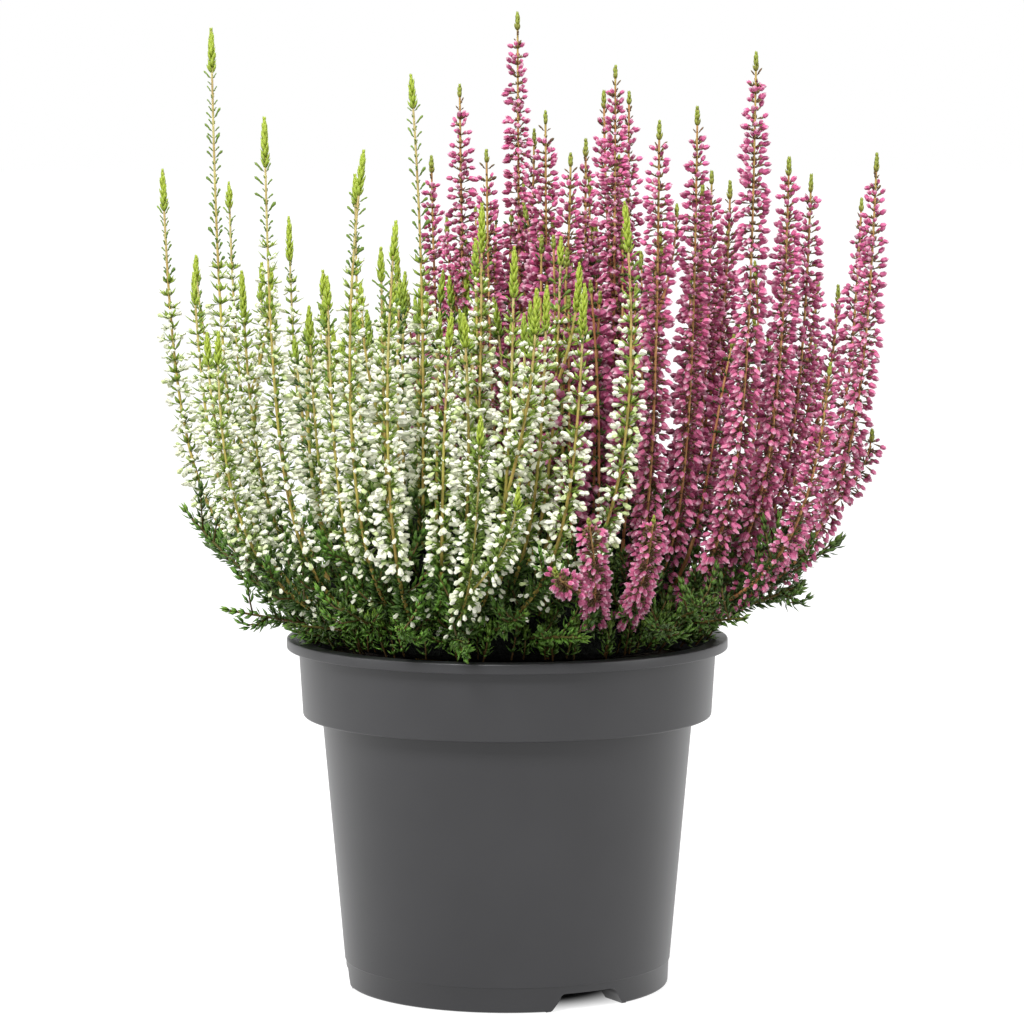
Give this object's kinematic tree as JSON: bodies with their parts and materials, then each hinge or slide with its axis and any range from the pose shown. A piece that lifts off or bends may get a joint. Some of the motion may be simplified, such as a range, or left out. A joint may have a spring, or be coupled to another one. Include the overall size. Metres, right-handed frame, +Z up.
{
  "type": "potted heather",
  "caption": "Heather in a plastic nursery pot: a white-flowered and a pink-flowered plant with upright flower spikes over needle-leaved green growth.",
  "frame": {"origin": "middle of the pot's foot circle, on the ground", "axes": "+Z up, the front is -Y, +X to the right seen from the front"},
  "size_m": [0.2125, 0.2124, 0.286],
  "materials": {
    "pot_plastic": "dark grey injection-moulded polypropylene, satin",
    "potting_soil": "moist dark peat with lighter wood fibres, crumbly and matte",
    "stem_wood": "thin brown bark, matte",
    "needle_green": "small waxy evergreen leaves, dark to mid green",
    "white_flowers": "cream-white flower buds, soft and slightly translucent, with yellow-green spike tips",
    "pink_flowers": "magenta-pink flower buds, soft and slightly translucent, with olive-green spike tips"
  },
  "bodies": {
    "root": {"pot": "pot_plastic", "soil": "potting_soil", "white_plant_stem_base": "stem_wood", "pink_plant_stem_base": "stem_wood", "white_plant_foliage": "needle_green", "pink_plant_foliage": "needle_green", "white_spike_01": "white_flowers", "white_spike_02": "white_flowers", "white_spike_03": "white_flowers", "white_spike_04": "white_flowers", "white_spike_05": "white_flowers", "white_spike_06": "white_flowers", "white_spike_07": "white_flowers", "white_spike_08": "white_flowers", "white_spike_09": "white_flowers", "white_spike_10": "white_flowers", "white_spike_11": "white_flowers", "white_spike_12": "white_flowers", "white_spike_13": "white_flowers", "white_spike_14": "white_flowers", "white_spike_15": "white_flowers", "white_spike_16": "white_flowers", "white_spike_17": "white_flowers", "white_spike_18": "white_flowers", "white_spike_19": "white_flowers", "white_spike_20": "white_flowers", "white_spike_21": "white_flowers", "white_spike_22": "white_flowers", "white_spike_23": "white_flowers", "white_spike_24": "white_flowers", "white_spike_25": "white_flowers", "white_spike_26": "white_flowers", "pink_spike_01": "pink_flowers", "pink_spike_02": "pink_flowers", "pink_spike_03": "pink_flowers", "pink_spike_04": "pink_flowers", "pink_spike_05": "pink_flowers", "pink_spike_06": "pink_flowers", "pink_spike_07": "pink_flowers", "pink_spike_08": "pink_flowers", "pink_spike_09": "pink_flowers", "pink_spike_10": "pink_flowers", "pink_spike_11": "pink_flowers", "pink_spike_12": "pink_flowers", "pink_spike_13": "pink_flowers", "pink_spike_14": "pink_flowers", "pink_spike_15": "pink_flowers", "pink_spike_16": "pink_flowers", "pink_spike_17": "pink_flowers", "pink_spike_18": "pink_flowers", "pink_spike_19": "pink_flowers", "pink_spike_20": "pink_flowers", "pink_spike_21": "pink_flowers", "pink_spike_22": "pink_flowers", "pink_spike_23": "pink_flowers", "pink_spike_24": "pink_flowers", "pink_spike_25": "pink_flowers", "pink_spike_26": "pink_flowers", "pink_spike_27": "pink_flowers"}
  },
  "joints": []
}
